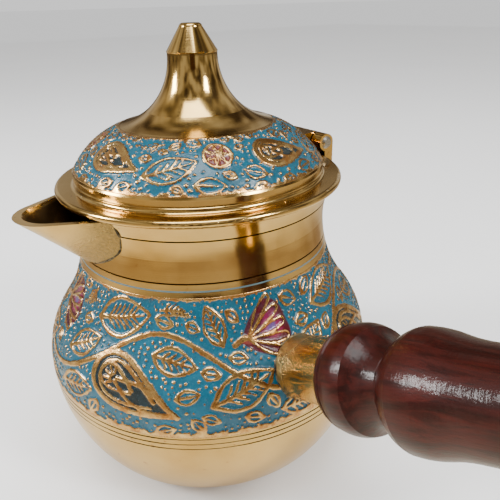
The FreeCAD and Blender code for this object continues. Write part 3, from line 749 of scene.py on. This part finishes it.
def fill_with_foliage(field, tries, lengths, draw, drift):
    """Sprays and leaves wherever there is room, all leaning with one slow drift."""
    low, high = lengths
    for _ in range(tries):
        at = (RNG.uniform(-180, 180), RNG.uniform(0.6, field.up[-1] - 0.6))
        heading = drift * math.sin(math.radians(at[0] * REPEATS)) + RNG.uniform(-30, 30)
        heading += 180 if RNG.random() < 0.35 else 0
        length = RNG.uniform(low, high)
        if field.has_room(at, heading, length):
            draw(field, at, heading, length)


def draw_spray(field, at, heading, length):
    """A bent fern frond."""
    stem = field.lay([(0, 0), (0.35, 0.07), (0.7, 0.06), (1, -0.03)], at, heading, length)
    field.fern(stem, 0.30 * length, 1.5, 0.42)


def draw_sprig(field, at, heading, length):
    """A small plain leaf."""
    draw_leaf(field, at, heading, length, plump=0.3, veins=0, width=0.6)


def draw_belly(field):
    """A waving stem with buds, flowers and leaves along it, and foliage in the gaps."""
    middle = field.up[-1] / 2
    wave = [(x, middle + 8.5 * math.sin(math.radians((x - FIRST_BUD) * REPEATS)))
            for x in range(-180, 181, 10)]
    for i in range(REPEATS):
        start = FIRST_BUD + PERIOD * i
        draw_bud(field, (start, middle - 1.5), heading=-24, length=25)
        draw_flower(field, (start + 0.56 * PERIOD, middle + 5.5), heading=12, length=15)
        draw_leaf(field, (start - 6, middle + 9), heading=12, length=19, veins=6, width=0.95)
        draw_leaf(field, (start + 0.44 * PERIOD, middle - 9), heading=22, length=17, veins=5,
                  width=0.95)
    field.stroke(wave, width=1.1)
    fill_with_foliage(field, tries=1500, lengths=(11, 15), draw=draw_leaf, drift=40)
    fill_with_foliage(field, tries=1500, lengths=(8, 12), draw=draw_spray, drift=40)
    fill_with_foliage(field, tries=2500, lengths=(4, 7), draw=draw_sprig, drift=40)
    field.broaden(0.12)
    field.punch_ground(spacing=1.5, size=0.7)
    field.border(low=1.4, high=field.up[-1] - 0.7, waves=61)


def draw_lid(field):
    """Buds, rosettes and leaves in turn round the dome, and foliage in the gaps."""
    middle = field.up[-1] / 2
    for i in range(REPEATS):
        start = FIRST_BUD + PERIOD * i
        draw_bud(field, (start - 20, middle + 1.5), heading=-14, length=16)
        draw_rosette(field, (start + 0.55 * PERIOD, middle + 2), radius=3.6)
        draw_leaf(field, (start + 15, middle - 4), heading=20, length=13)
    fill_with_foliage(field, tries=1200, lengths=(8, 12), draw=draw_spray, drift=30)
    fill_with_foliage(field, tries=1200, lengths=(5, 8), draw=draw_sprig, drift=30)
    fill_with_foliage(field, tries=1500, lengths=(2.6, 4), draw=draw_sprig, drift=30)
    field.broaden(0.06)
    field.punch_ground(spacing=1.5, size=0.85)
    field.border(low=0.8, high=field.up[-1] - 0.8, waves=47)


def relief_band(name, node, spacing, mean_radius, draw, body, material):
    """The relief that shows instead of a plain CAD enamel ring; lengths are in millimetres."""
    field = Field(outside_profile(node), spacing, mean_radius)
    draw(field)
    piece = field.build(name, material, relief=0.34, back=0.48)
    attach(piece, body)
    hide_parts(node)


# ---- solder beads ---------------------------------------------------------------------------

BEAD_SIDES = 8
SKEW = Vector((0.31, 0.52, 0.79))    # a direction that no seam runs along
ON_SURFACE = 0.00008                 # this near the pot's outline, a point lies on it


def bead_along(name, path, thickness, material, body, closed=False):
    """An uneven bead of solder swept along a path."""
    count = len(path)
    points = []
    for i, place in enumerate(path):
        before = path[(i - 1) % count] if closed or i else path[0]
        after = path[(i + 1) % count] if closed or i < count - 1 else path[-1]
        along = (after - before).normalized()
        side = along.cross(SKEW).normalized()
        other = along.cross(side)
        size = thickness * (0.8 + 0.45 * math.sin(i * 1.7) * math.sin(i * 0.61 + 1))
        if not closed and i in (0, count - 1):
            size *= 0.15
        for k in range(BEAD_SIDES):
            turn = 2 * math.pi * k / BEAD_SIDES
            points.append(place + (side * math.cos(turn) + other * math.sin(turn)) * size)
    faces = grid_faces(count, BEAD_SIDES, close_rows=closed).tolist()
    if not closed:
        faces.append(list(range(BEAD_SIDES))[::-1])
        faces.append([(count - 1) * BEAD_SIDES + k for k in range(BEAD_SIDES)])
    piece = add_mesh(name, points, faces, material)
    smoothing = piece.modifiers.new("rounding", "SUBSURF")
    smoothing.levels = smoothing.render_levels = 1
    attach(piece, body)


def pot_outline():
    """Heights and radii of the brass and the enamel band together, from the bottom up."""
    brass_part = outside_profile("pot_body")
    band_part = outside_profile("belly_enamel")
    heights = np.append(brass_part[0], band_part[0])
    radii = np.append(brass_part[1], band_part[1])
    order = np.argsort(heights)
    return heights[order], radii[order]


def points_on_pot(node):
    """The vertices of a node that lie on the pot's outside."""
    points = node_points(node)
    radius = np.hypot(points[:, 0], points[:, 1])
    return points[np.abs(radius - np.interp(points[:, 2], *POT_OUTLINE)) < ON_SURFACE]


def spout_seam(count=44):
    """The outline of the spout's root on the neck, from rim to rim round its underside."""
    on_neck = points_on_pot("spout")
    centre_height = SPOUT_TOP + 0.002
    turn = np.arctan2(on_neck[:, 0], centre_height - on_neck[:, 2])
    reach = np.hypot(on_neck[:, 0], centre_height - on_neck[:, 2])
    path = []
    width = turn.max() - turn.min()
    for share in np.linspace(0.0, 1.0, count):
        angle = turn.min() + width * share
        near = np.abs(turn - angle) < width / count * 1.6
        if near.any():
            path.append(Vector(on_neck[near][np.argmax(reach[near])]))
    return path


def boss_seam(count=56):
    """Where the boss's side meets the belly: the CAD boss's own edge there."""
    on_belly = points_on_pot("handle_boss")
    centre = on_belly.mean(0)
    turn = np.arctan2(on_belly[:, 2] - centre[2], on_belly[:, 1] - centre[1])
    reach = np.hypot(on_belly[:, 2] - centre[2], on_belly[:, 1] - centre[1])
    path = []
    for angle in np.linspace(-math.pi, math.pi, count, endpoint=False):
        near = np.abs(np.angle(np.exp(1j * (turn - angle)))) < 2.4 * math.pi / count
        if near.any():
            path.append(Vector(on_belly[near][np.argmax(reach[near])]))
    return path


# ---- build ----------------------------------------------------------------------------------

POT_OUTLINE = pot_outline()
SPOUT_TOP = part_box("spout")[1][2]

pot_brass = brass("polished_brass_pot", grooves=groove_heights("pot_body"))
plain_brass = brass("polished_brass")
loose_brass = brass("bright_brass", rings=False)
solder_finish = solder("solder")
belly_finish = relief_material("belly_enamel_relief", wear=0.15)
lid_finish = relief_material("lid_enamel_relief", wear=0.30)

paint("pot_body", pot_brass)
for node in ("lid_dome", "lid_collar", "finial"):
    paint(node, plain_brass)
for node in ("handle_end_washer", "handle_end_nut", "finial_washer", "finial_nut", "hinge_bracket",
             "hinge_lug"):
    paint(node, loose_brass)
for node in ("hinge_pin", "handle_stud"):
    paint(node, steel("steel_" + node))
paint("neck_enamel_line", enamel_line("enamel_line"))
paint("spout", filed_brass("filed_brass_spout", root_radius=0.0365, reach=0.009,
                           channel_rim=SPOUT_TOP))
paint("handle_boss", filed_brass("filed_brass_boss", root_radius=0.046, reach=0.007))

relief_band("belly_relief", "belly_enamel", spacing=0.26, mean_radius=45.5, draw=draw_belly,
            body="pot", material=belly_finish)
relief_band("lid_relief", "lid_enamel", spacing=0.24, mean_radius=29.0, draw=draw_lid,
            body="lid", material=lid_finish)

bead_along("spout_solder", spout_seam(), thickness=0.00042, material=solder_finish, body="pot")
bead_along("boss_solder", boss_seam(), thickness=0.00040, material=solder_finish, body="pot",
           closed=True)

stud = node_points("handle_stud")
stud_middle = stud.mean(0)
stud_axis = np.linalg.svd(stud - stud_middle, full_matrices=False)[2][0]
paint("handle_grip", lacquered_wood("lacquered_wood", Vector(stud_axis), stud_middle))


# ---- stage, lights and camera ---------------------------------------------------------------

FLOOR_HALF = 40.0               # half of a side of the square floor
TABLE_HALF = 2.4
TABLE_LIFT = 0.0005             # keeps the table clear of the floor
ROOM_RADIUS = 2.5
BLACK = (0.0, 0.0, 0.0, 1.0)
WHITE = (1.0, 1.0, 1.0, 1.0)


def flat_sheet(name, half_width, half_height, lift, material):
    """A level rectangle round the origin."""
    corners = [(-half_width, -half_height, lift), (half_width, -half_height, lift),
               (half_width, half_height, lift), (-half_width, half_height, lift)]
    return add_mesh(name, corners, [(0, 1, 2, 3)], material, smooth=False)


def stage_floor():
    """The plain pale floor that the pot stands on."""
    shader = Shader("pale_floor")
    mottle = shader.noise(shader.place(), 6, detail=3)
    shade = shader.mix(mottle, (0.86, 0.86, 0.86, 1), (0.90, 0.90, 0.90, 1))
    finish = shader.finish(Base_Color=shade, Roughness=0.9)
    flat_sheet("floor", FLOOR_HALF, FLOOR_HALF, 0, finish)


def area_light(name, place, target, size, power):
    """A soft white window of this width and height, facing its target."""
    light = bpy.data.lights.new(name, "AREA")
    light.shape = "RECTANGLE"
    light.size, light.size_y = size
    light.energy = power
    lamp = bpy.data.objects.new(name, light)
    lamp.location = place
    lamp.rotation_euler = (Vector(target) - Vector(place)).to_track_quat("-Z", "Y").to_euler()
    SCENE.collection.objects.link(lamp)


def dark_card(name, place, target, size, shade):
    """A card that only shows in reflections, as dark surroundings do in polished metal."""
    shader = Shader(name)
    finish = shader.finish(Base_Color=shade, Roughness=1.0, Specular_IOR_Level=0.0)
    card = flat_sheet(name, size[0] / 2, size[1] / 2, 0, finish)
    card.location = place
    card.rotation_euler = (Vector(target) - Vector(place)).to_track_quat("Z", "Y").to_euler()
    hide_from_all_but_reflections(card)


def reflected_room():
    """A dim warm room with paler patches, which only shows in the polished metal."""
    shader = Shader("room")
    clouds = shader.noise(shader.place(), 1.1, detail=2)
    walls = shader.ramp(clouds, [(0.38, srgb(66, 54, 44)), (0.48, srgb(150, 138, 120)),
                                 (0.60, srgb(232, 226, 214))])
    finish = shader.finish(Base_Color=BLACK, Emission_Color=walls, Emission_Strength=0.85,
                           Roughness=1.0)
    mesh = bpy.data.meshes.new("room")
    shell = bmesh.new()
    bmesh.ops.create_uvsphere(shell, u_segments=48, v_segments=24, radius=ROOM_RADIUS)
    shell.to_mesh(mesh)
    shell.free()
    mesh.materials.append(finish)
    room = bpy.data.objects.new("room", mesh)
    SCENE.collection.objects.link(room)
    hide_from_all_but_reflections(room)


def reflected_table():
    """A table that only polished metal sees: pale near the pot, then brown, paler and brown."""
    shader = Shader("table")
    place = shader.place()
    patches = shader.math("MULTIPLY", shader.noise(place, 9, detail=2), 0.16)
    shade = shader.ramp(shader.math("ADD", shader.radius(place), patches),
                        [(0.12, srgb(242, 238, 226)), (0.20, srgb(206, 196, 172)),
                         (0.29, srgb(112, 92, 68)), (0.45, srgb(168, 156, 134)),
                         (0.9, srgb(104, 90, 74))])
    finish = shader.finish(Base_Color=shade, Roughness=1.0)
    hide_from_all_but_reflections(flat_sheet("table", TABLE_HALF, TABLE_HALF, TABLE_LIFT, finish))


def hide_from_all_but_reflections(piece):
    """Leave a stage piece out of everything but the polished metal."""
    piece.visible_camera = False
    piece.visible_diffuse = False
    piece.visible_transmission = False
    piece.visible_shadow = False


def studio_world():
    """Plain white light from all round."""
    world = bpy.data.worlds.new("studio")
    world.use_nodes = True
    background = world.node_tree.nodes["Background"]
    background.inputs["Color"].default_value = WHITE
    background.inputs["Strength"].default_value = 0.95
    SCENE.world = world


# the camera, fitted to the ellipses of the lid and the grooves
CAMERA_X, CAMERA_Y = 0.1299, -0.0742
CAMERA_ABOVE_FLANGE = 0.0433
FLANGE_THICKNESS = 0.002
HEADING = math.radians(145.0)
PITCH = math.radians(24.81)
ROLL = math.radians(-1.58)
LENS = 38.5
SENSOR = 36.0


def place_camera():
    """The viewing angle: from the handle's side of the spout, looking down about 25 degrees."""
    flange_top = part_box("lid_dome")[0][2] + FLANGE_THICKNESS
    place = Vector((CAMERA_X, CAMERA_Y, flange_top + CAMERA_ABOVE_FLANGE))
    ahead = Vector((math.cos(HEADING) * math.cos(PITCH), math.sin(HEADING) * math.cos(PITCH),
                    -math.sin(PITCH)))
    right = ahead.cross(Vector((0, 0, 1))).normalized()
    up = right.cross(ahead)
    rolled_right = right * math.cos(ROLL) + up * math.sin(ROLL)
    rolled_up = up * math.cos(ROLL) - right * math.sin(ROLL)
    camera = bpy.data.cameras.new("camera")
    camera.lens = LENS
    camera.sensor_width = SENSOR
    camera.clip_start = 0.005
    eye = bpy.data.objects.new("camera", camera)
    eye.matrix_world = Matrix((
        (rolled_right.x, rolled_up.x, -ahead.x, place.x),
        (rolled_right.y, rolled_up.y, -ahead.y, place.y),
        (rolled_right.z, rolled_up.z, -ahead.z, place.z),
        (0, 0, 0, 1)))
    SCENE.collection.objects.link(eye)
    SCENE.camera = eye


stage_floor()
reflected_room()
reflected_table()
studio_world()
place_camera()
POT_MIDDLE = (0, 0, 0.07)
area_light("window_left", (-0.25, -0.55, 0.40), POT_MIDDLE, size=(0.16, 0.22), power=5.0)
area_light("window_right", (0.55, 0.20, 0.50), POT_MIDDLE, size=(0.14, 0.22), power=4.0)
area_light("overhead", (0.1, -0.1, 0.9), (0, 0, 0.05), size=(0.5, 0.5), power=6.0)
dark_card("room_front", (0.62, -0.36, 0.10), POT_MIDDLE, size=(0.30, 0.45),
          shade=srgb(52, 34, 22))
